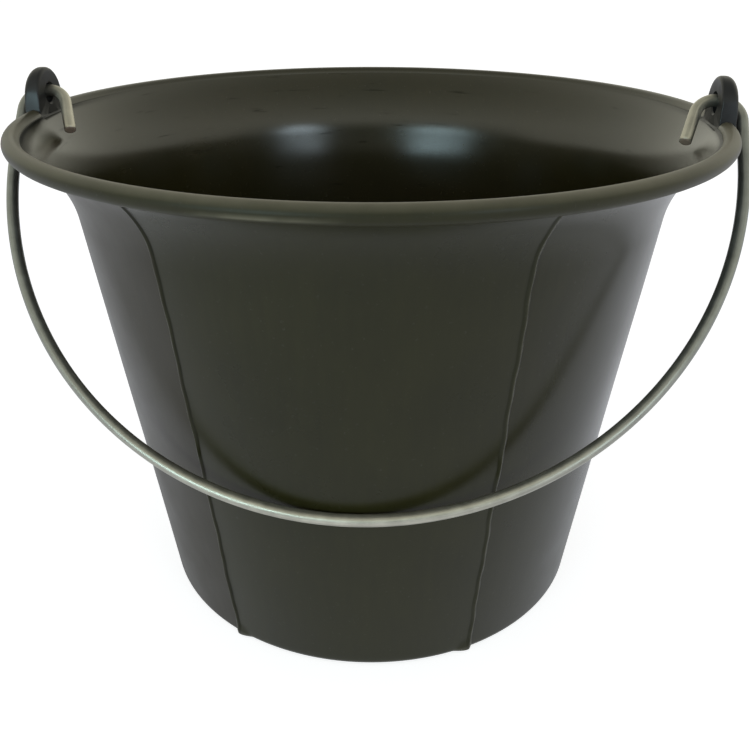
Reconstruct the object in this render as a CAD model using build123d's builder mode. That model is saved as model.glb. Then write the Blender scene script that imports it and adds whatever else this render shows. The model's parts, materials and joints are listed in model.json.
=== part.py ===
# Builder's cement bucket: a tapered moulded bucket with a flared lip and a round rim bead,
# two lugs seated in the rim, and a loose wire bail hooked through them.
# Millimetres. The origin is on the floor under the middle of the base, +Z is up,
# the lugs stand on the X axis and the bail hangs down the front, towards -Y.
import os
from math import asin, cos, radians, sin, sqrt, tan

from build123d import *

# Bucket moulding
rim_diameter = 330.0
bead_diameter = 7.6
bead_height = 237.7
base_diameter = 224.1
wall_taper = 7.46
flare_height = 33.9
wall_thickness = 2.5
lip_offset = 1.3
base_thickness = 3.5
base_corner_radius = 5.0
floor_corner_radius = 6.0

# Mould parting ridges on the outside of the wall
ridge_angle = 30.5
ridge_width = 1.6
ridge_height = 1.0
nub_radius = 1.8
nub_width = 3.4
nub_lift = 0.4

# Lugs
ear_width = 28.0
ear_thickness = 7.4
ear_inset = 0.3
ear_rise = 21.7
ear_edge_radius = 1.8
pivot_rise = 9.8
hole_clearance = 0.35
hole_chamfer = 0.7

# Bail
wire_diameter = 5.5
leg_clearance = 1.55
leg_length = 27.9
leg_bend_inset = 6.2
crown_run = 0.5
wall_gap = 0.3
hook_bend_radius = 10.0
hook_drop = 22.3
hook_turn = 3.5
hook_gap = 1.6

# Places worked out from the sizes above
taper = radians(wall_taper)
wall_direction = (sin(taper), cos(taper))
wall_normal = (cos(taper), -sin(taper))
base_radius = base_diameter / 2
bead_radius = bead_diameter / 2
bead_centre = (rim_diameter / 2 - bead_radius, bead_height)
half_wall = wall_thickness / 2
flare_start_height = bead_height - flare_height


def cone_radius(height, depth=0.0):
    """Radius of the straight wall at a height, a depth inside its outer face."""
    return base_radius + height * tan(taper) - depth / cos(taper)


# The flare is one arc, tangent to the straight wall, whose middle line passes the bead's centre
# by the lip offset, on the inside.
flare_foot = (
    cone_radius(flare_start_height) - half_wall * wall_normal[0],
    flare_start_height - half_wall * wall_normal[1],
)
flare_run = (bead_centre[0] - flare_foot[0], bead_centre[1] - flare_foot[1])
flare_across = flare_run[0] * wall_normal[0] + flare_run[1] * wall_normal[1]
flare_run_squared = flare_run[0] ** 2 + flare_run[1] ** 2
flare_radius = (flare_run_squared - lip_offset**2) / (2 * (flare_across - lip_offset))
flare_centre = (
    flare_foot[0] + flare_radius * wall_normal[0],
    flare_foot[1] + flare_radius * wall_normal[1],
)
bead_distance = flare_radius - lip_offset
flare_end = (
    (bead_centre[0] - flare_centre[0]) / bead_distance,
    (bead_centre[1] - flare_centre[1]) / bead_distance,
)
flare_heading = (flare_end[1], -flare_end[0])
lip_end = (
    bead_centre[0] + lip_offset * flare_end[0],
    bead_centre[1] + lip_offset * flare_end[1],
)


def flare_start(depth):
    """Where the flare starts, a depth outside (-) or inside (+) its middle line."""
    radius = flare_radius + depth
    return (flare_centre[0] - radius * wall_normal[0], flare_centre[1] - radius * wall_normal[1])


def flare_meets_bead(depth):
    """Where the flare runs into the bead, a depth outside (-) or inside (+) its middle line."""
    radius = flare_radius + depth
    along = (radius**2 - bead_radius**2 + bead_distance**2) / (2 * bead_distance)
    short = sqrt(radius**2 - along**2)
    return (
        flare_centre[0] + along * flare_end[0] - short * flare_heading[0],
        flare_centre[1] + along * flare_end[1] - short * flare_heading[1],
    )


def inner_radius(height):
    """Radius of the inside of the bucket at a height."""
    flare_begins = flare_start(half_wall)[1]
    if height < flare_begins:
        return cone_radius(height, wall_thickness)
    return flare_centre[0] - sqrt((flare_radius + half_wall) ** 2 - (height - flare_centre[1]) ** 2)


wire_radius = wire_diameter / 2
pivot_height = bead_height + pivot_rise
ear_outside = rim_diameter / 2 - ear_inset
ear_inside = ear_outside - ear_thickness
ear_round_height = bead_height + ear_rise - ear_width / 2

leg_reach = rim_diameter / 2 + leg_clearance + wire_radius
leg_bend_radius = leg_reach - ear_outside + leg_bend_inset
bail_drop = leg_length + leg_reach

# The wire arches through the lug: high at the inner face, and bending down before the outer one.
# The pivot lies midway, and the hole leaves the arch room to turn.
arch_underside = leg_bend_radius - sqrt((leg_bend_radius - wire_radius) ** 2 - leg_bend_inset**2)
arch_rise = (arch_underside - wire_radius) / 2
hole_radius = wire_radius + arch_rise + hole_clearance

# The bail leans on the front of the wall: the tilt from straight down at which its lowest
# point stands the wall gap off the wall.
wall_reach = cone_radius(pivot_height) * cos(taper) + wire_radius + wall_gap
bail_tilt = asin(wall_reach / bail_drop) - taper
hook_tilt = bail_tilt + radians(hook_turn)


def bead_point(along, up):
    """A point on the bead, by its share of the radius along the lip's heading and square to it."""
    return (
        bead_centre[0] + bead_radius * (along * flare_heading[0] + up * flare_end[0]),
        bead_centre[1] + bead_radius * (along * flare_heading[1] + up * flare_end[1]),
    )


def turned_shell():
    """The bucket's wall, floor, lip and bead, turned in one piece."""
    with BuildPart() as shell:
        with BuildSketch(Plane.YZ):
            with BuildLine():
                FilletPolyline((0, 0), (base_radius, 0), flare_start(-half_wall), radius=base_corner_radius)
                TangentArc(flare_start(-half_wall), flare_meets_bead(-half_wall), tangent=wall_direction)
                ThreePointArc(flare_meets_bead(-half_wall), bead_point(0, -1), bead_point(1, 0))
                ThreePointArc(bead_point(1, 0), bead_point(0, 1), flare_meets_bead(half_wall))
                TangentArc(flare_start(half_wall), flare_meets_bead(half_wall), tangent=wall_direction)
                FilletPolyline(
                    flare_start(half_wall),
                    (cone_radius(base_thickness, wall_thickness), base_thickness),
                    (0, base_thickness),
                    radius=floor_corner_radius,
                )
                Line((0, base_thickness), (0, 0))
            make_face()
        revolve(axis=Axis.Z)
    return shell.part


def ear_plane(side):
    """The plane of a lug's inner face, facing outwards: side is -1 on the left, 1 on the right."""
    return Plane(origin=(side * ear_inside, 0, 0), x_dir=(0, side, 0), z_dir=(side, 0, 0))


def ear_seat(side):
    """The notch across the bead that a lug's foot fills."""
    with BuildPart() as seat:
        with Locations((side * rim_diameter / 2, 0, bead_height)):
            Box(rim_diameter, ear_width, bead_diameter, align=(Align.CENTER, Align.CENTER, Align.MIN))
    return seat.part


def ear_plate(side):
    """The upright plate of a lug."""
    with BuildPart() as plate:
        with BuildSketch(ear_plane(side)):
            with BuildLine():
                Polyline(
                    (-ear_width / 2, ear_round_height),
                    (-ear_width / 2, bead_height),
                    (ear_width / 2, bead_height),
                    (ear_width / 2, ear_round_height),
                )
                ThreePointArc(
                    (ear_width / 2, ear_round_height),
                    (0, bead_height + ear_rise),
                    (-ear_width / 2, ear_round_height),
                )
            make_face()
        extrude(amount=ear_thickness)
        round_edges = plate.edges().filter_by(GeomType.CIRCLE)
        fillet(round_edges, radius=ear_edge_radius)
    return plate.part


# Bucket body: the shell with its four mould ridges, notched for the two lugs
with BuildPart() as bucket_body:
    add(turned_shell())
    for azimuth in (ridge_angle, 180 - ridge_angle, 180 + ridge_angle, -ridge_angle):
        outward = (sin(radians(azimuth)), -cos(radians(azimuth)), 0)
        sideways = Vector(outward).cross(Vector(0, 0, 1))
        ridge_plane = Plane(origin=(0, 0, 0), x_dir=outward, z_dir=sideways)
        ridge_top = flare_start(-half_wall - ridge_height)
        ridge_end = flare_meets_bead(-half_wall - ridge_height)
        nub_height = nub_lift + nub_radius
        with BuildSketch(ridge_plane):
            with BuildLine():
                Line((cone_radius(nub_height, -ridge_height), nub_height), ridge_top)
                TangentArc(ridge_top, ridge_end, tangent=wall_direction)
                Line(ridge_end, lip_end)
                TangentArc(flare_foot, lip_end, tangent=wall_direction)
                Polyline(
                    flare_foot,
                    (cone_radius(nub_height, half_wall), nub_height),
                    (cone_radius(nub_height, -ridge_height), nub_height),
                )
            make_face()
        extrude(amount=ridge_width / 2, both=True)
        with BuildSketch(ridge_plane):
            with Locations((cone_radius(nub_height) + ridge_height - nub_radius, nub_height)):
                Circle(nub_radius)
        extrude(amount=nub_width / 2, both=True)
    for side in (-1, 1):
        add(ear_seat(side), mode=Mode.SUBTRACT)
bucket_body.part.label = "bucket_body"


def ear(side):
    """A whole lug: a foot with the bead's own section, the plate that stands on it, and the bail's hole."""
    with BuildPart() as lug:
        add(turned_shell())
        add(ear_seat(side), mode=Mode.INTERSECT)
        add(ear_plate(side))
        with BuildSketch(ear_plane(side)):
            with Locations((0, pivot_height)):
                Circle(hole_radius)
        extrude(amount=ear_thickness, mode=Mode.SUBTRACT)
        hole_edges = edges(Select.LAST).filter_by(GeomType.CIRCLE)
        chamfer(hole_edges, length=hole_chamfer)
    return lug.part


left_ear = ear(-1)
left_ear.label = "left_ear"
right_ear = ear(1)
right_ear.label = "right_ear"


def bail_point(across, drop, tilt):
    """A point of the bail: across along X, and a drop from the pivot at a tilt from straight down."""
    return (across, -drop * sin(tilt), pivot_height - drop * cos(tilt))


# The hook's cut end stands the hook gap off the lip inside the bucket.
hook_end_drop = hook_drop - arch_rise
hook_low = pivot_height - hook_end_drop * cos(hook_tilt) - wire_radius * sin(hook_tilt)
hook_forward = hook_end_drop * sin(hook_tilt)
hook_reach = sqrt((inner_radius(hook_low) - hook_gap) ** 2 - hook_forward**2) - wire_radius

# The wire runs level for a short crown inside the lug, and the hook's bend starts where the crown
# ends. The corner of the bend lies where the hook's straight end, drawn on, meets that level.
hook_bend_start = leg_reach - leg_bend_radius - crown_run
hook_span = hook_bend_start - hook_reach
hook_tangent = sqrt(hook_span**2 + hook_drop * (hook_drop - 2 * hook_bend_radius))
hook_corner = hook_bend_start - hook_drop * hook_bend_radius / (hook_span + hook_tangent)

# Bail: one bent wire, hooked through both lugs
with BuildPart() as bail:
    with BuildLine() as bail_path:
        half_paths = []
        for side in (-1, 1):
            half_paths.append(
                FilletPolyline(
                    bail_point(side * hook_reach, hook_end_drop, hook_tilt),
                    bail_point(side * hook_corner, -arch_rise, hook_tilt),
                    bail_point(side * leg_reach, -arch_rise, bail_tilt),
                    bail_point(side * leg_reach, leg_length, bail_tilt),
                    radius=[hook_bend_radius, leg_bend_radius],
                )
            )
        ThreePointArc(
            bail_point(-leg_reach, leg_length, bail_tilt),
            bail_point(0, bail_drop, bail_tilt),
            bail_point(leg_reach, leg_length, bail_tilt),
        )
    cut_end = half_paths[0]
    with BuildSketch(Plane(origin=cut_end @ 0, z_dir=cut_end % 0)):
        Circle(wire_radius)
    sweep(path=bail_path.wires()[0])
bail.part.label = "bail"

os.makedirs("parts", exist_ok=True)
for piece in (bucket_body.part, left_ear, right_ear, bail.part):
    export_step(piece, f"parts/{piece.label}.step")
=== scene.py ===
import json
import math

import bmesh
import bpy
import numpy as np
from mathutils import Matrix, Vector


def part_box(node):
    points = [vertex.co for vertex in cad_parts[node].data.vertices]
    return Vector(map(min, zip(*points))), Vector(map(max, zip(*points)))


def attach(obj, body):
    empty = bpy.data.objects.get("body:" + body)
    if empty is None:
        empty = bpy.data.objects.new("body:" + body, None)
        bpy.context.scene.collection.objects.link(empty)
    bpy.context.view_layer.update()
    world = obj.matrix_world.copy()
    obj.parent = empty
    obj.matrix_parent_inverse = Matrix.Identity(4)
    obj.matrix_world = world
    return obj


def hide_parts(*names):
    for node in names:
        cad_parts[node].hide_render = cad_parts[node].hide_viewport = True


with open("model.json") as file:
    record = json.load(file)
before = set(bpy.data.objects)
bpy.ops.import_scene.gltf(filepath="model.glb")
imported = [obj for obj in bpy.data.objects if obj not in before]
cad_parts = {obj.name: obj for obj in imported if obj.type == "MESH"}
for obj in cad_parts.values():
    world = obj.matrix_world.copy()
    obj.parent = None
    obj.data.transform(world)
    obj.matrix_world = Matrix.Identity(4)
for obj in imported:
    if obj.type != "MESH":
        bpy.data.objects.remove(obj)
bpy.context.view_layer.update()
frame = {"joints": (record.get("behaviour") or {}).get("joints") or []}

# Bucket body: one compression moulding in reclaimed black rubber, a tapered wall that flares out
# into a lip with a round bead, notched on both sides for the lugs. Where the mould's four segments
# met, a thin wavy flash runs down the outside to a drop of squeezed-out rubber at the base.
MM = 0.001
rim_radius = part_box("bucket_body")[1].x
rim_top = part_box("bucket_body")[1].z
bead_radius = 3.8 * MM
lip_offset = 1.3 * MM
outer_neck_radius = 1.2 * MM
inner_neck_radius = 0.4 * MM
flare_height = 33.9 * MM
base_radius = 112.05 * MM
wall_taper = math.radians(7.46)
wall = 2.5 * MM
base_thickness = 3.5 * MM
base_corner = 5.0 * MM
floor_corner = 6.0 * MM
first_ring = 8.0 * MM
seat_half_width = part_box("right_ear")[1].y
seat_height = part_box("right_ear")[0].z


def unit(vector):
    """The vector at length one."""
    return vector / np.linalg.norm(vector)


def run(start, end, steps):
    """Points along a straight run, without its end."""
    return start + np.outer(np.linspace(0, 1, steps, endpoint=False), end - start)


def arc(centre, start, end, steps):
    """Points from start towards end the short way round a centre, without the end."""
    out = start - centre
    reach = np.linalg.norm(out)
    turn = math.acos(np.clip(unit(out) @ unit(end - centre), -1, 1))
    ahead = unit((end - centre) - ((end - centre) @ unit(out)) * unit(out)) * reach
    turned = np.linspace(0, turn, steps, endpoint=False)
    return centre + np.outer(np.cos(turned), out) + np.outer(np.sin(turned), ahead)


def rounded(before, corner, after, radius, steps):
    """Points of a round corner between two straight runs, its end included."""
    back, forth = unit(before - corner), unit(after - corner)
    half = math.acos(np.clip(back @ forth, -1, 1)) / 2
    centre = corner + unit(back + forth) * radius / math.sin(half)
    start = corner + back * radius / math.tan(half)
    turned = np.linspace(0, math.pi - 2 * half, steps)
    return centre + np.outer(np.cos(turned), start - centre) - np.outer(np.sin(turned), back * radius)


# The section is drawn as points (radius, height), with the flare as one arc that leaves the
# straight wall without a corner and runs into the upper half of the bead.
up_wall = np.array([math.sin(wall_taper), math.cos(wall_taper)])
off_wall = np.array([math.cos(wall_taper), -math.sin(wall_taper)])
bead_middle = np.array([rim_radius - bead_radius, rim_top - bead_radius])
base_edge = np.array([base_radius, 0.0])
flare_foot = base_edge + up_wall * (bead_middle[1] - flare_height) / up_wall[1] - off_wall * wall / 2
to_bead = bead_middle - flare_foot
flare_radius = (to_bead @ to_bead - lip_offset**2) / (2 * (to_bead @ off_wall - lip_offset))
flare_middle = flare_foot + off_wall * flare_radius
bead_distance = flare_radius - lip_offset
lip_square = (bead_middle - flare_middle) / bead_distance
lip_ahead = np.array([lip_square[1], -lip_square[0]])


def neck(face, radius):
    """The small hollow where the bead meets the outer (-1) or inner (1) face of the flare.

    Gives its middle, and the points where it runs into the flare and into the bead.
    """
    from_flare = flare_radius + face * (wall / 2 + radius)
    from_bead = bead_radius + radius
    along = (from_flare**2 - from_bead**2 + bead_distance**2) / (2 * bead_distance)
    middle = flare_middle + along * lip_square - math.sqrt(from_flare**2 - along**2) * lip_ahead
    on_flare = flare_middle + unit(middle - flare_middle) * (flare_radius + face * wall / 2)
    on_bead = bead_middle + unit(middle - bead_middle) * bead_radius
    return middle, on_flare, on_bead


outer_flare_start = flare_foot + off_wall * wall / 2
inner_flare_start = flare_foot - off_wall * wall / 2
inner_edge_reach = (base_thickness - inner_flare_start[1]) / up_wall[1]
inner_edge = inner_flare_start + up_wall * inner_edge_reach
outer_neck, outer_on_flare, outer_on_bead = neck(-1, outer_neck_radius)
inner_neck, inner_on_flare, inner_on_bead = neck(1, inner_neck_radius)
bead_widest = bead_middle + np.array([bead_radius, 0.0])
bead_tip = bead_middle + lip_ahead * bead_radius
inner_flare_radius = flare_radius + wall / 2
seat_rise = seat_height - flare_middle[1]
seat_inside = flare_middle[0] - math.sqrt(inner_flare_radius**2 - seat_rise**2)
seat_edge = np.array([seat_inside, seat_height])
base_round = rounded(np.zeros(2), base_edge, outer_flare_start, base_corner, steps=14)
floor_middle = np.array([0.0, base_thickness])
floor_round = rounded(inner_flare_start, inner_edge, floor_middle, floor_corner, steps=10)
underside = run(np.array([first_ring, 0.0]), base_round[0], steps=8)
outside = np.concatenate([
    base_round[:-1],
    run(base_round[-1], outer_flare_start, steps=72),
    arc(flare_middle, outer_flare_start, outer_on_flare, steps=20),
    arc(outer_neck, outer_on_flare, outer_on_bead, steps=7),
])
bead = np.concatenate([
    arc(bead_middle, outer_on_bead, bead_widest, steps=10),
    arc(bead_middle, bead_widest, bead_tip, steps=6),
    arc(bead_middle, bead_tip, inner_on_bead, steps=18),
])
inside = np.concatenate([
    arc(inner_neck, inner_on_bead, inner_on_flare, steps=7),
    arc(flare_middle, inner_on_flare, seat_edge, steps=3),
    arc(flare_middle, seat_edge, inner_flare_start, steps=22),
    run(inner_flare_start, floor_round[0], steps=56),
    floor_round[:-1],
    run(floor_round[-1], floor_middle, steps=8),
])
section = np.concatenate([underside, outside, bead, inside])
outside_rows = slice(len(underside), len(underside) + len(outside))
bead_rows = slice(outside_rows.stop, outside_rows.stop + len(bead))
inside_rows = slice(bead_rows.stop, len(section))


def turn_from(azimuth, middle):
    """Signed turn from a middle to each azimuth."""
    return (azimuth - middle + math.pi) % (2 * math.pi) - math.pi


# Azimuth runs from the front (-Y) towards +X. Columns of points stand close together at the ridges
# (here in degrees), and in pairs at the sides of the two seats, where they follow the flat sides.
ridge_azimuth = math.radians(30.5)
ridges = np.array([ridge_azimuth, math.pi - ridge_azimuth, math.pi + ridge_azimuth, -ridge_azimuth])
lug_azimuths = (math.pi / 2, 3 * math.pi / 2)
over_ridge = np.linspace(-1.5, 1.5, 25)
beside_ridge = np.arange(2.1, 4.7, 0.5)
ridge_columns = np.radians(np.concatenate([-beside_ridge[::-1], over_ridge, beside_ridge]))
ridge_room = 1.1 * ridge_columns[-1]
seat_turn = np.arcsin(seat_half_width / np.maximum(section[:, 0], seat_inside))
seat_room = math.radians(0.6)
seat_crack = math.radians(0.005)
column_spacing = 1.5
spread = np.radians(np.arange(0, 360, column_spacing))
clear = np.all([np.abs(turn_from(spread, ridge)) > ridge_room for ridge in ridges], axis=0)
for lug_azimuth in lug_azimuths:
    clear &= np.abs(np.abs(turn_from(spread, lug_azimuth)) - seat_turn.mean()) > seat_room
columns = [np.full(len(section), turn) for turn in spread[clear]]
for ridge in ridges:
    columns += [np.full(len(section), turn % (2 * math.pi)) for turn in ridge + ridge_columns]
for lug_azimuth in lug_azimuths:
    for seat_side in (seat_turn + seat_crack, seat_turn - seat_crack):
        columns += [lug_azimuth - seat_side, lug_azimuth + seat_side]
azimuths = np.array(sorted(columns, key=lambda column: column[0])).T
radii = np.repeat(section[:, :1], azimuths.shape[1], axis=1)
heights = np.repeat(section[:, 1:], azimuths.shape[1], axis=1)
for lug_azimuth in lug_azimuths:
    seated = np.abs(turn_from(azimuths, lug_azimuth)) < seat_turn[:, None]
    heights = np.where(seated, np.minimum(heights, seat_height), heights)


def bump(away, width, power=2):
    """A share that is one at no distance, and falls off over a width."""
    return np.exp(-(np.abs(away / width) ** power))


# A flash ridge rides on the wall and wanders a little from its line; its nub hangs off the base.
# Its flank towards the lug, lit by the side light, carries a painted highlight, and painted shade sits at
# the foot of the other one. Both differ between the left and the right ridges, and each ridge starts its
# waves elsewhere.
ridge_half_width = 1.1 * MM
ridge_height = 1.0 * MM
least_crest = 0.85 * ridge_height
wander_reach = 0.30 * MM
wander_length = 8.5 * MM
waver_reach = 0.20 * MM
waver_length = 2.9 * MM
swelling_share = 0.16
swelling_length = 1.7 * MM
thinning_share = 0.14
thinning_length = 14 * MM
nub_radius = 1.8 * MM
nub_half_width = 1.9 * MM
nub_spread = 8.0 * MM
nub_height = 2.2 * MM
nub_end = 3.52 * nub_height
nub_blend = 2.2 * nub_height
ridge_roundness = 1.5
foot_width = 0.6 * MM
left_foot_shade = 0.75
right_foot_shade = 0.35
lug_side_foot_shade = 0.1
left_flank_highlight = 0.5
right_flank_highlight = 0.95
flank_highlight_start = 0.3
high = heights[outside_rows]
near = radii[outside_rows]
crest = (base_radius + high * math.tan(wall_taper)) + ridge_height / math.cos(wall_taper)
nub_middle = crest[0, 0] + (nub_height - high[0, 0]) * math.tan(wall_taper) - nub_radius
below = np.clip(nub_height - high, 0, nub_radius)
crest = np.where(high < nub_height, nub_middle + np.sqrt(nub_radius**2 - below**2), crest)
crest = np.maximum(crest, near + least_crest * (high > nub_height - nub_radius))
crest = np.where(high < nub_height - nub_radius, near, crest)
nub_share = np.clip((nub_end - high) / nub_blend, 0, 1)
flash = np.zeros_like(near)
flash_foot_shade = np.zeros_like(near)
flank_highlight = np.zeros_like(near)
for number, ridge in enumerate(ridges):
    wander = wander_reach * np.sin(high / wander_length + 2.1 * number)
    wander += waver_reach * np.sin(high / waver_length + number)
    aside = turn_from(azimuths[outside_rows], ridge) * near - wander
    off_lug = aside * np.sign(math.cos(ridge)) * -np.sign(math.sin(ridge))
    half_width = ridge_half_width * (1 + swelling_share * np.sin(high / swelling_length + 3 * number))
    half_width += (nub_half_width - half_width) * nub_share
    half_width = np.where(off_lug > 0, half_width + (nub_spread - half_width) * nub_share, half_width)
    profile = np.clip(1 - (aside / half_width) ** 2, 0, 1) ** ridge_roundness
    fullness = 1 - thinning_share + thinning_share * np.sin(high / thinning_length + 1.7 * number)
    fullness = np.where(high < 2 * nub_height, 1.0, fullness)
    flash = np.maximum(flash, profile * fullness)
    on_left = math.sin(ridge) < 0
    # Painted shade at the flash's foot, strongest on the side away from the lug and on the left ridge.
    foot_shade = np.where(off_lug > 0, left_foot_shade if on_left else right_foot_shade, lug_side_foot_shade)
    flash_foot = bump(np.abs(aside) - ridge_half_width, foot_width)
    flash_foot_shade = np.maximum(flash_foot_shade, flash_foot * foot_shade)
    # Painted highlight: the flank towards the lug is paler, as if lit from the side.
    lug_flank = np.clip(flank_highlight_start - off_lug / ridge_half_width, 0, 1)
    flank_highlight = np.maximum(flank_highlight, (left_flank_highlight if on_left else right_flank_highlight) * profile * lug_flank)
radii[outside_rows] = near + np.maximum(crest - near, 0) * flash

# The wall of a rubber moulding is never quite true: it sways inwards by a hair, both faces alike.
# The base and the bead hold it true near them.
wall_sway = 0.12 * MM
broad_sway = 38 * MM
narrow_sway = 21 * MM
base_hold = 60 * MM
bead_hold = 40 * MM
sway = np.sin(3 * azimuths + 0.8) * np.sin(heights / broad_sway + 0.5)
sway = sway + np.sin(7 * azimuths + 2.0) * np.sin(heights / narrow_sway + 2.2) - 2
free_wall = np.clip(heights / base_hold, 0, 1) * np.clip((bead_middle[1] - heights) / bead_hold, 0, 1)
radii += wall_sway * sway / 2 * free_wall


def eased(share):
    """A share that leaves zero and reaches one gently."""
    return (3 - 2 * share) * share**2


# At the back the wall is a little thicker under the flare, so the inside swells there.
back_swell = 0.9 * MM
swell_top = inner_flare_start[1] + 3 * MM
swell_top_ease = 19 * MM
swell_bottom = 100 * MM
swell_bottom_ease = 60 * MM
swell_turn = math.radians(32)
swell = eased(np.clip((swell_top - heights) / swell_top_ease, 0, 1))
swell = swell * eased(np.clip((heights - swell_bottom) / swell_bottom_ease, 0, 1))
swell = swell * bump(turn_from(azimuths, math.pi), swell_turn)
radii[inside_rows] -= back_swell * swell[inside_rows]
body_rings = np.stack([radii * np.sin(azimuths), -radii * np.cos(azimuths), heights], axis=-1)


def closed_mesh(name, rings, poles=None):
    """A closed mesh through rings of points: capped at two poles, or the last ring joined to the first."""
    rows, sides = rings.shape[:2]
    index = np.arange(rows * sides).reshape(rows, sides)
    lower = index if poles is None else index[:-1]
    upper = np.roll(index, -1, axis=0) if poles is None else index[1:]
    corners = [lower, np.roll(lower, -1, axis=1), np.roll(upper, -1, axis=1), upper]
    faces = np.stack(corners, axis=-1).reshape(-1, 4).tolist()
    points = rings.reshape(-1, 3).tolist()
    if poles is not None:
        for ring, pole in zip((index[0], index[-1]), poles):
            pairs = zip(ring.tolist(), np.roll(ring, -1).tolist())
            faces += [(len(points), one, other) for one, other in pairs]
            points.append(list(pole))
    mesh = bpy.data.meshes.new(name)
    mesh.from_pydata(points, [], faces)
    edit = bmesh.new()
    edit.from_mesh(mesh)
    bmesh.ops.recalc_face_normals(edit, faces=edit.faces)
    edit.to_mesh(mesh)
    edit.free()
    mesh.shade_smooth()
    return mesh


def note(mesh, name, values):
    """Keeps one number for each point of a capped mesh, for its material to read."""
    values = values.ravel()
    values = np.concatenate([values, [values[0], values[-1]]]).astype(np.float32)
    mesh.attributes.new(name, "FLOAT", "POINT").data.foreach_set("value", values)


def place_piece(name, mesh, material):
    """Puts a mesh into the scene as a piece with its material."""
    mesh.materials.append(material)
    piece = bpy.data.objects.new(name, mesh)
    bpy.context.scene.collection.objects.link(piece)
    return piece


body_mesh = closed_mesh("bucket_body_mesh", body_rings, poles=[(0, 0, 0), (0, 0, base_thickness)])
body_mesh.set_sharp_from_angle(angle=math.radians(65))

# The mould's core gave the inside its own finish, and its darker colour there is partly painted shade. At
# the front it ends on the inner side of the bead, and towards the back it takes in the whole bead.
frontal_reach = 0.75
frontal = np.clip(frontal_reach + np.cos(azimuths), 0, 1)
on_outside = np.zeros_like(radii)
on_outside[outside_rows] = 1
on_bead = np.zeros_like(radii)
on_bead[bead_rows] = frontal[bead_rows]
over_bead = np.clip(np.linspace(-3, 1, len(bead)), 0, 1)[:, None]
core_side = np.zeros_like(radii)
core_side[bead_rows] = np.maximum(over_bead, 1 - frontal[bead_rows])
core_side[inside_rows] = 1
note(body_mesh, "core_side", core_side)

# The side segments of the mould left greyer panels, the right one only faintly so.
left_panel = on_outside * (np.sin(azimuths) < -math.sin(ridge_azimuth))
right_panel = on_outside * (np.sin(azimuths) > math.sin(ridge_azimuth))
note(body_mesh, "side_panel", left_panel + 0.15 * right_panel)

# Dullness: the core side and the right panel are smoother, the left panel, the front bead and the
# scuffed lower wall are duller, and so is the turn of the wall into the flare inside.
wall_dullness = 0.29
scuffed_height = 110 * MM
soft_turn_width = 6 * MM
scuffed = on_outside * np.clip(1 - heights / scuffed_height, 0, 1)
dull = wall_dullness - 0.08 * core_side + 0.08 * left_panel - 0.04 * right_panel
dull = dull + 0.10 * scuffed + 0.16 * on_bead
dull[inside_rows] += 0.05 * bump(heights[inside_rows] - inner_flare_start[1], soft_turn_width)
note(body_mesh, "dullness", dull)

# Painted shade: dark in the crease inside the bead beside the lugs, and at the foot of the flash.
flare_crease_width = 1.9 * MM
bead_crease_width = 0.9 * MM
beside_lug_turn = 80
beside_lug_width = 22
off_front = np.degrees(turn_from(azimuths, 0))
beside_lug = np.clip(1.6 * bump(np.abs(off_front) - beside_lug_turn, beside_lug_width), 0, 1)
from_crease = np.linalg.norm(section - inner_on_flare, axis=1)
in_crease = np.clip(1.6 - from_crease / flare_crease_width, 0, 1)
in_crease[bead_rows] = np.clip(1 - from_crease[bead_rows] / bead_crease_width, 0, 1)
painted_shade_share = in_crease[:, None] * beside_lug * (on_outside < 1)
painted_shade_share[outside_rows] = 0.7 * flash_foot_shade
note(body_mesh, "grime", painted_shade_share)

# Scuffs: level strokes on the inside of the wall, fading out towards the floor.
scuffs_full = 0.6
scuffs_fade = 60 * MM
inner_wall = np.zeros_like(radii)
inner_wall[inside_rows] = scuffs_full * np.clip(heights[inside_rows] / scuffs_fade - 0.5, 0, 1)
note(body_mesh, "inner_wall", inner_wall)

# Painted highlights on the lit flank of the flash, along the base edge, on the top of the front bead and on
# the inner side of the bead beside the lugs, a painted glint low on the front bead, and dust on its right
# end.
base_edge_highlight = 0.5
base_highlight_height = 1.5 * MM
base_highlight_width = 1.6 * MM
lug_bead_highlight = 0.35
glint_turn = -22
glint_width = 9
glint_azimuth = -6.5
glint_reach = 7
dusty_wear = 0.55
dusty_azimuth = 78
dusty_reach = 26
most_paleness = 1.8
bead_height = (heights - bead_middle[1]) / bead_radius
round_bead = np.degrees(np.arctan2(heights - bead_middle[1], section[:, :1] - bead_middle[0]))
# Painted reflection: an uneven glint of floor light low on the front bead.
glint = bump(round_bead - glint_turn, glint_width)
glint *= bump(off_front - glint_azimuth, glint_reach, power=4)
glint *= 1.2 + 0.4 * np.sin(1.2 * off_front) * np.sin(0.47 * off_front + 1)
highlights_and_dust = np.zeros_like(radii)
highlights_and_dust[outside_rows] = flank_highlight
# Painted highlight along the rounded base edge.
highlights_and_dust += base_edge_highlight * bump(heights - base_highlight_height, base_highlight_width) * on_outside
# Painted highlight on the top of the bead at the front.
highlights_and_dust += on_bead * np.clip(1.4 * np.cos(azimuths) - 0.2, 0, 1) * np.clip(1.3 * bead_height - 0.4, 0, 1)
# Painted highlight on the inner side of the bead beside the lugs.
highlights_and_dust += on_bead * lug_bead_highlight * beside_lug * (radii < bead_middle[0])
highlights_and_dust += on_bead * glint
highlights_and_dust[bead_rows] += dusty_wear * bump(off_front[bead_rows] - dusty_azimuth, dusty_reach)
note(body_mesh, "worn_edge", np.clip(highlights_and_dust, 0, most_paleness))


def linear(srgb):
    """An sRGB hex colour as the linear one that a shader takes."""
    shares = [int(srgb[digit : digit + 2], 16) / 255 for digit in (1, 3, 5)]
    levels = [share / 12.92 if share <= 0.04045 else ((share + 0.055) / 1.055) ** 2.4 for share in shares]
    return levels + [1.0]


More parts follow.
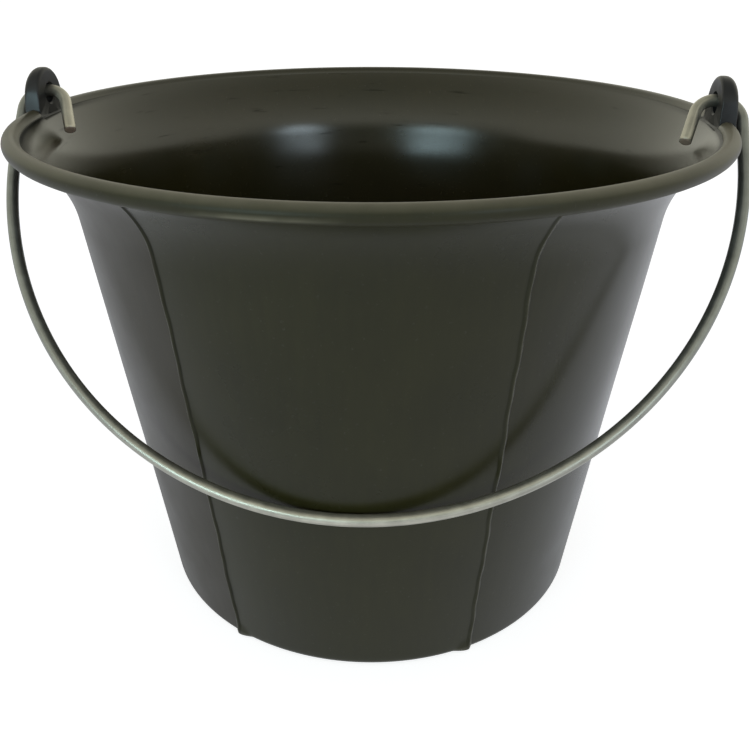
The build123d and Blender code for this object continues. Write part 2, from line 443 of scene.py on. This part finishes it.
def add_node(tree, kind, inputs=None, take=None, **settings):
    """Adds a node, or uses one that is there, with its settings and its inputs, by their identifiers.

    An input is set, or linked where its value is a socket. Gives back the output to take.
    """
    made = tree.nodes.new(kind) if isinstance(kind, str) else kind
    for name, value in settings.items():
        setattr(made, name, value)
    sockets = {socket.identifier: socket for socket in made.inputs}
    for name, value in (inputs or {}).items():
        if isinstance(value, bpy.types.NodeSocket):
            tree.links.new(value, sockets[name])
        else:
            sockets[name].default_value = value
    return next((socket for socket in made.outputs if socket.identifier == take), None)


def new_finish(name):
    """A material with its node tree and its principled shader."""
    finish = bpy.data.materials.new(name)
    finish.use_nodes = True
    return finish, finish.node_tree, finish.node_tree.nodes["Principled BSDF"]


# Moulded reclaimed rubber: black with an olive cast, mottled and faintly streaked down the wall,
# satin where the polished mould pressed it and shinier inside, where its darker colour is partly painted
# shade.
# Pale grey lays painted highlights, a painted glint and dust, and painted shade and scuffs are dark and
# matt.
outside_dark = linear("#201f0b")
outside_pale = linear("#2e2c16")
# The inside's colours are darker than the outside's: partly painted shade for the deep inside.
shaded_inside_dark = linear("#1b1c09")
shaded_inside_pale = linear("#2b260f")
panel_grey = linear("#332e23")
highlight_and_dust_grey = linear("#87816d")
dust_grey = linear("#45433b")
shade_and_scuff_black = linear("#14140e")
mottle_size = 48 * MM
streak_width = 3.5 * MM
speck_size = 1.6 * MM
scuff_width = 1.5 * MM
rubber, tree, shader = new_finish("moulded_reclaimed_rubber")
where = add_node(tree, "ShaderNodeTexCoord", take="Object")
panel, edge, core, dullness, painted_shade, scuffable = (
    add_node(tree, "ShaderNodeAttribute", attribute_name=name, take="Fac")
    for name in ("side_panel", "worn_edge", "core_side", "dullness", "grime", "inner_wall")
)
mottle = add_node(
    tree, "ShaderNodeTexNoise",
    {"Vector": where, "Scale": 1 / mottle_size, "Detail": 5.0, "Roughness": 0.6}, take="Fac"
)
upright = add_node(tree, "ShaderNodeMapping", {"Vector": where, "Scale": (1.0, 1.0, 0.07)}, take="Vector")
streak = add_node(
    tree, "ShaderNodeTexNoise", {"Vector": upright, "Scale": 1 / streak_width, "Detail": 3.0}, take="Fac"
)
speck = add_node(
    tree, "ShaderNodeTexNoise", {"Vector": where, "Scale": 1 / speck_size, "Detail": 2.0}, take="Fac"
)
dust = add_node(
    tree, "ShaderNodeMapRange",
    {"Value": speck, "From Min": 0.66, "From Max": 0.78, "To Max": 0.4}, take="Result"
)
outside_ground = add_node(
    tree, "ShaderNodeMix", {"Factor_Float": mottle, "A_Color": outside_dark, "B_Color": outside_pale},
    data_type="RGBA", take="Result_Color"
)
sided = add_node(
    tree, "ShaderNodeMix", {"Factor_Float": panel, "A_Color": outside_ground, "B_Color": panel_grey},
    data_type="RGBA", take="Result_Color"
)
shaded_inside_ground = add_node(
    tree, "ShaderNodeMix", {"Factor_Float": mottle, "A_Color": shaded_inside_dark, "B_Color": shaded_inside_pale},
    data_type="RGBA", take="Result_Color"
)
cored = add_node(
    tree, "ShaderNodeMix", {"Factor_Float": core, "A_Color": sided, "B_Color": shaded_inside_ground},
    data_type="RGBA", take="Result_Color"
)
streaked = add_node(
    tree, "ShaderNodeMix", {"Factor_Float": 0.16, "A_Color": cored, "B_Color": streak},
    data_type="RGBA", blend_type="OVERLAY", take="Result_Color"
)
# Pale grey: painted highlights and a painted glint, and dust on the bead's right end.
highlight_and_dust_strength = add_node(
    tree, "ShaderNodeMath", {"Value": edge, "Value_001": mottle}, operation="MULTIPLY", take="Value"
)
highlighted_and_dusted = add_node(
    tree, "ShaderNodeMix", {"Factor_Float": highlight_and_dust_strength, "A_Color": streaked, "B_Color": highlight_and_dust_grey},
    data_type="RGBA", take="Result_Color"
)
dusted = add_node(
    tree, "ShaderNodeMix", {"Factor_Float": dust, "A_Color": highlighted_and_dusted, "B_Color": dust_grey},
    data_type="RGBA", take="Result_Color"
)
level = add_node(tree, "ShaderNodeMapping", {"Vector": where, "Scale": (0.06, 0.06, 1.0)}, take="Vector")
stroke = add_node(
    tree, "ShaderNodeTexNoise", {"Vector": level, "Scale": 1 / scuff_width, "Detail": 2.0}, take="Fac"
)
scuff = add_node(
    tree, "ShaderNodeMapRange",
    {"Value": stroke, "From Min": 0.675, "From Max": 0.77, "To Min": 0.0, "To Max": scuffable}, take="Result"
)
# Dark and matt: painted shade in the crease and at the flash's foot, and the scuffs.
grime = add_node(
    tree, "ShaderNodeMath", {"Value": scuff, "Value_001": painted_shade}, operation="MAXIMUM", take="Value"
)
shaded_and_scuffed = add_node(
    tree, "ShaderNodeMix", {"Factor_Float": grime, "A_Color": dusted, "B_Color": shade_and_scuff_black},
    data_type="RGBA", take="Result_Color"
)
patchy = add_node(
    tree, "ShaderNodeMapRange",
    {"Value": mottle, "From Min": 0.3, "From Max": 0.7, "To Min": 0.88, "To Max": 1.12}, take="Result"
)
dulled = add_node(
    tree, "ShaderNodeMath", {"Value": dullness, "Value_001": patchy}, operation="MULTIPLY", take="Value"
)
polish = add_node(tree, "ShaderNodeMapRange", {"Value": core, "To Min": 0.25, "To Max": 0.63}, take="Result")
shine = add_node(
    tree, "ShaderNodeMapRange", {"Value": grime, "To Min": polish, "To Max": 0.05}, take="Result"
)
# The grain of the mould is drawn coarser than it is, so that it shows.
grain_size = 1.1 * MM
grain = add_node(
    tree, "ShaderNodeTexNoise", {"Vector": where, "Scale": 1 / grain_size, "Detail": 3.0}, take="Fac"
)
relief = add_node(
    tree, "ShaderNodeBump", {"Height": grain, "Strength": 0.25, "Distance": 0.05 * MM}, take="Normal"
)
add_node(tree, shader, {
    "Base Color": shaded_and_scuffed, "Roughness": dulled, "Normal": relief, "Specular IOR Level": shine,
})
bucket_body = place_piece("bucket_body_skin", body_mesh, rubber)
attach(bucket_body, "bucket")
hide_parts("bucket_body")

# Lugs: two upright plates with round tops, moulded in a harder grey-black rubber, let into the
# bead on both sides by a foot with the bead's own section. Each has a wide hole for the bail.
lug_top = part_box("right_ear")[1].z
lug_thickness = 7.4 * MM
lug_inset = 0.3 * MM
lug_inside = rim_radius - lug_inset - lug_thickness
side_lean = math.radians(7)
round_edge = 1.8 * MM
outer_round_edge = 4.6 * MM
straight_edge = 0.5 * MM
edge_change_start = 2.0 * MM
edge_change_length = 16.0 * MM
face_margin = 0.3 * MM
pivot = np.array(frame["joints"][0]["pos_m"])
hole_radius = 4.558 * MM
hole_chamfer = 0.7 * MM
bore_edge = hole_radius + hole_chamfer
foot_depth = pivot[2] - seat_height
lean_width = seat_half_width * math.cos(side_lean) - (lug_top - seat_height) * math.sin(side_lean)
round_radius = lean_width / (1 - math.sin(side_lean))
round_drop = pivot[2] - (lug_top - round_radius)
plate_steps = 144
edge_steps = 9
# An even number of rings keeps them off the middle, where the plate has points of its own.
foot_steps = 26
hair = 1e-7


def lug_outline(turn):
    """How far the lug's outline lies from the middle of its hole, in a direction of its plane."""
    across, up = math.cos(turn), math.sin(turn)
    to_round = -round_drop * up + math.sqrt((round_drop * up) ** 2 - round_drop**2 + round_radius**2)
    if to_round * up + round_drop >= round_radius * math.sin(side_lean):
        return to_round
    half_width = seat_half_width - foot_depth * math.tan(side_lean)
    to_side = half_width / (abs(across) + up * math.tan(side_lean))
    to_foot = foot_depth / max(-up, hair)
    return min(to_side, to_foot) if to_side > 0 else to_foot


def lug_plate_rings():
    """Rings round the hole: each goes through the bore, across a face, over the edge and back."""
    rings = []
    for turn in np.linspace(0, 2 * math.pi, plate_steps, endpoint=False):
        rim = lug_outline(turn)
        over_start = rim * math.sin(turn) + round_drop + edge_change_start
        on_round = np.clip(over_start / edge_change_length, 0, 1)
        halves = []
        for full_edge in (outer_round_edge, round_edge):
            lug_edge = straight_edge + (full_edge - straight_edge) * on_round
            edge_turn = np.linspace(0, math.pi / 2, edge_steps)
            edge_out = rim - lug_edge + lug_edge * np.sin(edge_turn)
            edge_up = lug_thickness - lug_edge + lug_edge * np.cos(edge_turn)
            face = np.array([bore_edge, bore_edge + face_margin, rim - lug_edge - face_margin])
            halves.append(np.concatenate([
                [(hole_radius, lug_thickness / 2), (hole_radius, lug_thickness - hole_chamfer)],
                np.stack([face, np.full(len(face), lug_thickness)], axis=-1),
                np.stack([edge_out, edge_up], axis=-1),
            ]))
        inner_half = halves[1][:0:-1] * [1, -1] + [0, lug_thickness]
        loop = np.concatenate([halves[0], inner_half])
        across, up = loop[:, 0] * math.cos(turn), loop[:, 0] * math.sin(turn)
        rings.append(np.stack([lug_inside + loop[:, 1], across, pivot[2] + up], axis=-1))
    return np.array(rings)


def lug_foot_rings():
    """Rings along the foot, each the part of the bead's section above the seat."""
    loop = section[section[:, 1] > seat_height - hair]
    rings = []
    for along in np.linspace(-seat_half_width, seat_half_width, foot_steps):
        reach = np.sqrt(loop[:, 0] ** 2 - along**2)
        rings.append(np.stack([reach, np.full(len(loop), along), loop[:, 1]], axis=-1))
    return np.array(rings)


def joined(mesh, other):
    """One closed mesh out of two that overlap."""
    pieces = [bpy.data.objects.new(part.name, part) for part in (mesh, other)]
    for piece in pieces:
        bpy.context.scene.collection.objects.link(piece)
    union = pieces[0].modifiers.new("union", "BOOLEAN")
    union.operation = "UNION"
    union.solver = "EXACT"
    union.object = pieces[1]
    ready = pieces[0].evaluated_get(bpy.context.evaluated_depsgraph_get())
    made = bpy.data.meshes.new_from_object(ready)
    for piece in pieces:
        bpy.data.objects.remove(piece)
    return made


# Harder moulded rubber: neutral grey-black and satin, clouded by a faint bloom. Its grain is drawn
# coarser than it is, so that it shows.
lug_dark = linear("#161617")
lug_pale = linear("#262627")
cloud_size = 7 * MM
lug_grain_size = 0.9 * MM
lug_rubber, tree, shader = new_finish("hard_moulded_rubber")
where = add_node(tree, "ShaderNodeTexCoord", take="Object")
cloud = add_node(
    tree, "ShaderNodeTexNoise",
    {"Vector": where, "Scale": 1 / cloud_size, "Detail": 5.0, "Roughness": 0.6}, take="Fac"
)
clouded = add_node(
    tree, "ShaderNodeMix", {"Factor_Float": cloud, "A_Color": lug_dark, "B_Color": lug_pale},
    data_type="RGBA", take="Result_Color"
)
lug_dullness = add_node(
    tree, "ShaderNodeMapRange",
    {"Value": cloud, "From Min": 0.3, "From Max": 0.7, "To Min": 0.32, "To Max": 0.44}, take="Result"
)
lug_grain = add_node(
    tree, "ShaderNodeTexNoise", {"Vector": where, "Scale": 1 / lug_grain_size, "Detail": 2.0}, take="Fac"
)
lug_relief = add_node(
    tree, "ShaderNodeBump", {"Height": lug_grain, "Strength": 0.3, "Distance": 0.06 * MM}, take="Normal"
)
add_node(tree, shader, {
    "Base Color": clouded, "Roughness": lug_dullness, "Normal": lug_relief, "Specular IOR Level": 0.3,
})
for name, side in (("left_ear", -1), ("right_ear", 1)):
    mirrored = np.array([side, 1, 1])
    plate_mesh = closed_mesh(name + "_plate", lug_plate_rings() * mirrored)
    foot_rings = lug_foot_rings() * mirrored
    foot_ends = [foot_rings[0].mean(0), foot_rings[-1].mean(0)]
    foot_mesh = closed_mesh(name + "_foot", foot_rings, poles=foot_ends)
    lug_mesh = joined(plate_mesh, foot_mesh)
    lug_mesh.set_sharp_from_angle(angle=math.radians(40))
    lug = place_piece(name + "_lug", lug_mesh, lug_rubber)
    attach(lug, "bucket")
    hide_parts(name)

# Bail: one length of galvanised drawn steel wire, bent on a former into a half circle with two
# straight legs, its ends arched out-to-in through the lugs and hooked down inside the bucket.
wire_radius = 2.75 * MM
bail_tilt = math.radians(40.4261)
hook_tilt = math.radians(43.9261)
leg_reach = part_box("bail")[1].x - wire_radius
leg_length = 27.9 * MM
leg_bend_radius = 10.8 * MM
arch_rise = 1.4578 * MM
hook_bend_radius = 10.0 * MM
hook_corner = 150.767 * MM
hook_end_drop = 20.8422 * MM
hook_reach = 143.4172 * MM


def bail_point(across, drop, tilt):
    """A point of the bail: across along X, and a drop from the pivot at a tilt from straight down."""
    return np.array([across, -drop * math.sin(tilt), pivot[2] - drop * math.cos(tilt)])


def half_bail(side):
    """The wire's middle line from one cut end to the start of the half circle."""
    hook_end = bail_point(side * hook_reach, hook_end_drop, hook_tilt)
    hook_top = bail_point(side * hook_corner, -arch_rise, hook_tilt)
    shoulder = bail_point(side * leg_reach, -arch_rise, bail_tilt)
    leg_end = bail_point(side * leg_reach, leg_length, bail_tilt)
    hook_bend = rounded(hook_end, hook_top, shoulder, hook_bend_radius, steps=16)
    leg_bend = rounded(hook_top, shoulder, leg_end, leg_bend_radius, steps=18)
    return np.concatenate([
        run(hook_end, hook_bend[0], steps=10),
        hook_bend[:-1],
        run(hook_bend[-1], leg_bend[0], steps=4),
        leg_bend[:-1],
        run(leg_bend[-1], leg_end, steps=12),
        leg_end[None],
    ])


left_half, right_half = half_bail(-1), half_bail(1)
bow_middle = bail_point(0, leg_length, bail_tilt)
bow_bottom = bail_point(0, leg_length + leg_reach, bail_tilt)
bow = np.concatenate([
    arc(bow_middle, left_half[-1], bow_bottom, steps=150),
    arc(bow_middle, bow_bottom, right_half[-1], steps=150),
])
middle_line = np.concatenate([left_half[:-1], bow, right_half[::-1]])
tangents = np.gradient(middle_line, axis=0)
tangents /= np.linalg.norm(tangents, axis=1)[:, None]
normals = [unit(np.cross(tangents[0], [0.0, 1.0, 0.0]))]
for tangent in tangents[1:]:
    normals.append(unit(normals[-1] - (normals[-1] @ tangent) * tangent))
normals = np.array(normals)
binormals = np.cross(tangents, normals)
wire_sides = 28
wire_turns = np.linspace(0, 2 * math.pi, wire_sides, endpoint=False)
spokes = np.stack([np.cos(wire_turns), np.sin(wire_turns)], axis=-1)


def wire_ring(station, share=1.0, ahead=0.0):
    """A ring of the wire at a station of its line, at a share of its radius, moved ahead along it."""
    around = spokes @ np.stack([normals[station], binormals[station]])
    return middle_line[station] + tangents[station] * ahead + around * wire_radius * share


# The sheared ends are flat, with a worn edge.
cut_edge = 0.5 * MM
cut_edge_length = 0.8 * cut_edge
cut_share = 1 - cut_edge / wire_radius
cut_shares = (0.6 * cut_share, cut_share)
wire_rings = np.array(
    [wire_ring(0, share) for share in cut_shares]
    + [wire_ring(0, ahead=cut_edge_length)]
    + [wire_ring(station) for station in range(1, len(middle_line) - 1)]
    + [wire_ring(-1, ahead=-cut_edge_length)]
    + [wire_ring(-1, share) for share in reversed(cut_shares)]
)
bail_mesh = closed_mesh("bail_mesh", wire_rings, poles=[middle_line[0], middle_line[-1]])

# The wire is rubbed bright at its middle, where it is carried, and at its hooked ends.
carried_reach = 0.22
hook_rub_reach = 0.06
line_steps = np.linalg.norm(np.diff(middle_line, axis=0), axis=1)
ring_travel = np.pad(np.cumsum(line_steps), (1, 0))
ring_travel = np.pad(ring_travel, len(cut_shares), mode="edge")
travel_share = ring_travel / ring_travel[-1]
from_end = np.minimum(travel_share, 1 - travel_share)
rubbed = bump(travel_share - 0.5, carried_reach) + bump(from_end, hook_rub_reach, power=4)
cut_end = np.ones((len(wire_rings), len(spokes)))
cut_end[len(cut_shares) : -len(cut_shares)] = 0
note(bail_mesh, "wire_along", np.repeat(ring_travel, len(spokes)))
note(bail_mesh, "wire_across", np.tile(spokes[:, 0], len(wire_rings)) * wire_radius)
note(bail_mesh, "wire_up", np.tile(spokes[:, 1], len(wire_rings)) * wire_radius)
note(bail_mesh, "rubbed", np.repeat(rubbed, len(spokes)))
note(bail_mesh, "cut_end", cut_end)

# Galvanised drawn wire: satin zinc, grey on the legs and paler and warmer where it is rubbed. Draw
# lines run along it, drawn coarser than they are so that they show, and patches of zinc break up
# its shine. The sheared ends are matt and brownish.
dull_dark = linear("#6c6f6c")
dull_pale = linear("#929591")
rubbed_dark = linear("#989589")
rubbed_pale = linear("#c7c3b4")
cut_brown = linear("#b09a88")
draw_line_width = 0.7 * MM
patch_size = 6 * MM
zinc, tree, shader = new_finish("galvanised_drawn_wire")
wire_along, wire_across, wire_up, cut, rub = (
    add_node(tree, "ShaderNodeAttribute", attribute_name=name, take="Fac")
    for name in ("wire_along", "wire_across", "wire_up", "cut_end", "rubbed")
)
straightened = add_node(
    tree, "ShaderNodeCombineXYZ", {"X": wire_along, "Y": wire_across, "Z": wire_up}, take="Vector"
)
drawn = add_node(
    tree, "ShaderNodeMapping", {"Vector": straightened, "Scale": (0.02, 1.0, 1.0)}, take="Vector"
)
draw_line = add_node(
    tree, "ShaderNodeTexNoise", {"Vector": drawn, "Scale": 1 / draw_line_width, "Detail": 3.0}, take="Fac"
)
patch = add_node(
    tree, "ShaderNodeTexNoise",
    {"Vector": straightened, "Scale": 1 / patch_size, "Detail": 4.0, "Roughness": 0.6}, take="Fac"
)
dull_zinc = add_node(
    tree, "ShaderNodeMix", {"Factor_Float": patch, "A_Color": dull_dark, "B_Color": dull_pale},
    data_type="RGBA", take="Result_Color"
)
rubbed_zinc = add_node(
    tree, "ShaderNodeMix", {"Factor_Float": patch, "A_Color": rubbed_dark, "B_Color": rubbed_pale},
    data_type="RGBA", take="Result_Color"
)
zinc_grey = add_node(
    tree, "ShaderNodeMix", {"Factor_Float": rub, "A_Color": dull_zinc, "B_Color": rubbed_zinc},
    data_type="RGBA", take="Result_Color"
)
lined = add_node(
    tree, "ShaderNodeMix", {"Factor_Float": 0.35, "A_Color": zinc_grey, "B_Color": draw_line},
    data_type="RGBA", blend_type="OVERLAY", take="Result_Color"
)
sheared = add_node(
    tree, "ShaderNodeMix", {"Factor_Float": cut, "A_Color": lined, "B_Color": cut_brown},
    data_type="RGBA", take="Result_Color"
)
wire_dullness = add_node(
    tree, "ShaderNodeMapRange",
    {"Value": patch, "From Min": 0.3, "From Max": 0.7, "To Min": 0.34, "To Max": 0.46}, take="Result"
)
metal = add_node(tree, "ShaderNodeMapRange", {"Value": cut, "To Min": 0.85, "To Max": 0.1}, take="Result")
wire_relief = add_node(
    tree, "ShaderNodeBump", {"Height": draw_line, "Strength": 0.35, "Distance": 0.08 * MM}, take="Normal"
)
add_node(tree, shader, {
    "Base Color": sheared, "Roughness": wire_dullness, "Normal": wire_relief, "Metallic": metal,
})
bail = place_piece("bail_wire", bail_mesh, zinc)
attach(bail, "bail")
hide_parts("bail")

# Floor: a plain white studio floor that runs out of sight and holds the soft shadow. What the
# camera sees of it is lifted to white, and mirror-like surfaces see it a little dimmer and cooler.
floor_reach = 12.0
floor_crack = 0.1 * MM
floor_sides = 96
floor_turns = np.linspace(0, 2 * math.pi, floor_sides, endpoint=False)
floor_points = [
    (floor_reach * math.cos(turn), floor_reach * math.sin(turn), -floor_crack) for turn in floor_turns
]
floor_mesh = bpy.data.meshes.new("studio_floor_mesh")
floor_mesh.from_pydata(floor_points, [], [list(range(len(floor_points)))])


def seen_rays(tree, straight, mirrored):
    """A level for rays from the camera or through glass, another for rays from mirror-like surfaces.

    All other rays get zero.
    """
    rays = tree.nodes.new("ShaderNodeLightPath").outputs
    direct = add_node(
        tree, "ShaderNodeMath", {"Value": rays["Is Camera Ray"], "Value_001": rays["Is Transmission Ray"]},
        operation="MAXIMUM", take="Value"
    )
    seen = add_node(
        tree, "ShaderNodeMath", {"Value": direct, "Value_001": straight}, operation="MULTIPLY", take="Value"
    )
    return add_node(
        tree, "ShaderNodeMath", {"Value": rays["Is Glossy Ray"], "Value_001": mirrored, "Value_002": seen},
        operation="MULTIPLY_ADD", take="Value"
    )


# Matt white paint: no gloss. Its own grey carries the shadow, and the lift makes it white.
white = linear("#ffffff")
cool_white = linear("#f4f7ff")
paint_grey = linear("#c4c4c4")
white_floor, tree, shader = new_finish("white_studio_floor")
lift = seen_rays(tree, straight=0.78, mirrored=0.59)
floor_tint = add_node(
    tree, "ShaderNodeMix",
    {"Factor_Float": seen_rays(tree, straight=0.0, mirrored=1.0), "A_Color": white, "B_Color": cool_white},
    data_type="RGBA", take="Result_Color"
)
add_node(tree, shader, {
    "Base Color": paint_grey, "Roughness": 0.9, "Specular IOR Level": 0.0,
    "Emission Color": floor_tint, "Emission Strength": lift,
})
floor = place_piece("studio_floor", floor_mesh, white_floor)

# Light: a white room with a dimmer ceiling, dark low down in front but for two cool windows. The
# ceiling, the dark end and a warm tint are seen by mirror-like surfaces alone. The camera sees
# plain white, and all other light comes from every side alike.
warm_white = linear("#fefdec")
even_light = 0.54
room = bpy.data.worlds.new("white_room")
room.use_nodes = True
bpy.context.scene.world = room
tree = room.node_tree
outward = add_node(tree, "ShaderNodeTexCoord", take="Generated")
upward = add_node(tree, "ShaderNodeSeparateXYZ", {"Vector": outward}, take="Z")
backward = add_node(tree, "ShaderNodeSeparateXYZ", {"Vector": outward}, take="Y")
ceiling = add_node(
    tree, "ShaderNodeMapRange",
    {"Value": upward, "From Min": 0.45, "From Max": 1.0, "To Min": 1.0, "To Max": 0.40}, take="Result"
)
low_down = add_node(
    tree, "ShaderNodeMapRange",
    {"Value": upward, "From Min": 0.40, "From Max": 0.20, "To Min": 0.0, "To Max": 0.8}, take="Result"
)
dark_end = add_node(
    tree, "ShaderNodeMapRange",
    {"Value": backward, "From Min": -0.25, "From Max": -0.65, "To Min": 0.0, "To Max": low_down},
    take="Result"
)
mirrored_room = add_node(
    tree, "ShaderNodeMapRange", {"Value": dark_end, "To Min": ceiling, "To Max": 0.0}, take="Result"
)
seen = seen_rays(tree, straight=1.0, mirrored=1.0)
seen_room = seen_rays(tree, straight=1.0, mirrored=mirrored_room)
room_level = add_node(
    tree, "ShaderNodeMix", {"Factor_Float": seen, "A_Float": even_light, "B_Float": seen_room},
    data_type="FLOAT", take="Result_Float"
)
room_tint = add_node(
    tree, "ShaderNodeMix",
    {"Factor_Float": seen_rays(tree, straight=0.0, mirrored=1.0), "A_Color": white, "B_Color": warm_white},
    data_type="RGBA", take="Result_Color"
)
add_node(tree, tree.nodes["Background"], {"Color": room_tint, "Strength": room_level})
lit_point = (0, 0.1, 0.2)


def window(name, stand, size, power, colour):
    """A soft oval light that faces the lit point."""
    lamp = bpy.data.lights.new(name, "AREA")
    lamp.shape = "ELLIPSE"
    lamp.size, lamp.size_y = size
    lamp.energy = power
    lamp.color = linear(colour)[:3]
    light = bpy.data.objects.new(name, lamp)
    bpy.context.scene.collection.objects.link(light)
    light.location = stand
    aim = Vector(lit_point) - Vector(stand)
    light.rotation_euler = aim.to_track_quat("-Z", "Y").to_euler()


window("left_window", stand=(-0.87, -1.70, 0.49), size=(1.1, 0.40), power=10.8, colour="#cdeff7")
window("right_window", stand=(1.20, -1.45, 0.60), size=(0.66, 0.50), power=5.4, colour="#dcf0fb")

# Camera: held a little above the rim and looking down at the front, as the photograph was taken.
camera_dip = 0.4585
camera_swing = math.radians(5.51)
camera_data = bpy.data.cameras.new("photo_camera")
camera_data.sensor_fit = "HORIZONTAL"
camera_data.sensor_width = 36.0
camera_data.lens = 41.344
camera_data.shift_x = 0.0044
camera_data.clip_start = 0.01
camera_data.clip_end = 100.0
camera = bpy.data.objects.new("photo_camera", camera_data)
bpy.context.scene.collection.objects.link(camera)
camera.location = (0.04038, -0.41856, 0.31323)
camera.rotation_euler = (math.pi / 2 - camera_dip, 0.0, camera_swing)
bpy.context.scene.camera = camera
bpy.context.scene.view_settings.view_transform = "Standard"
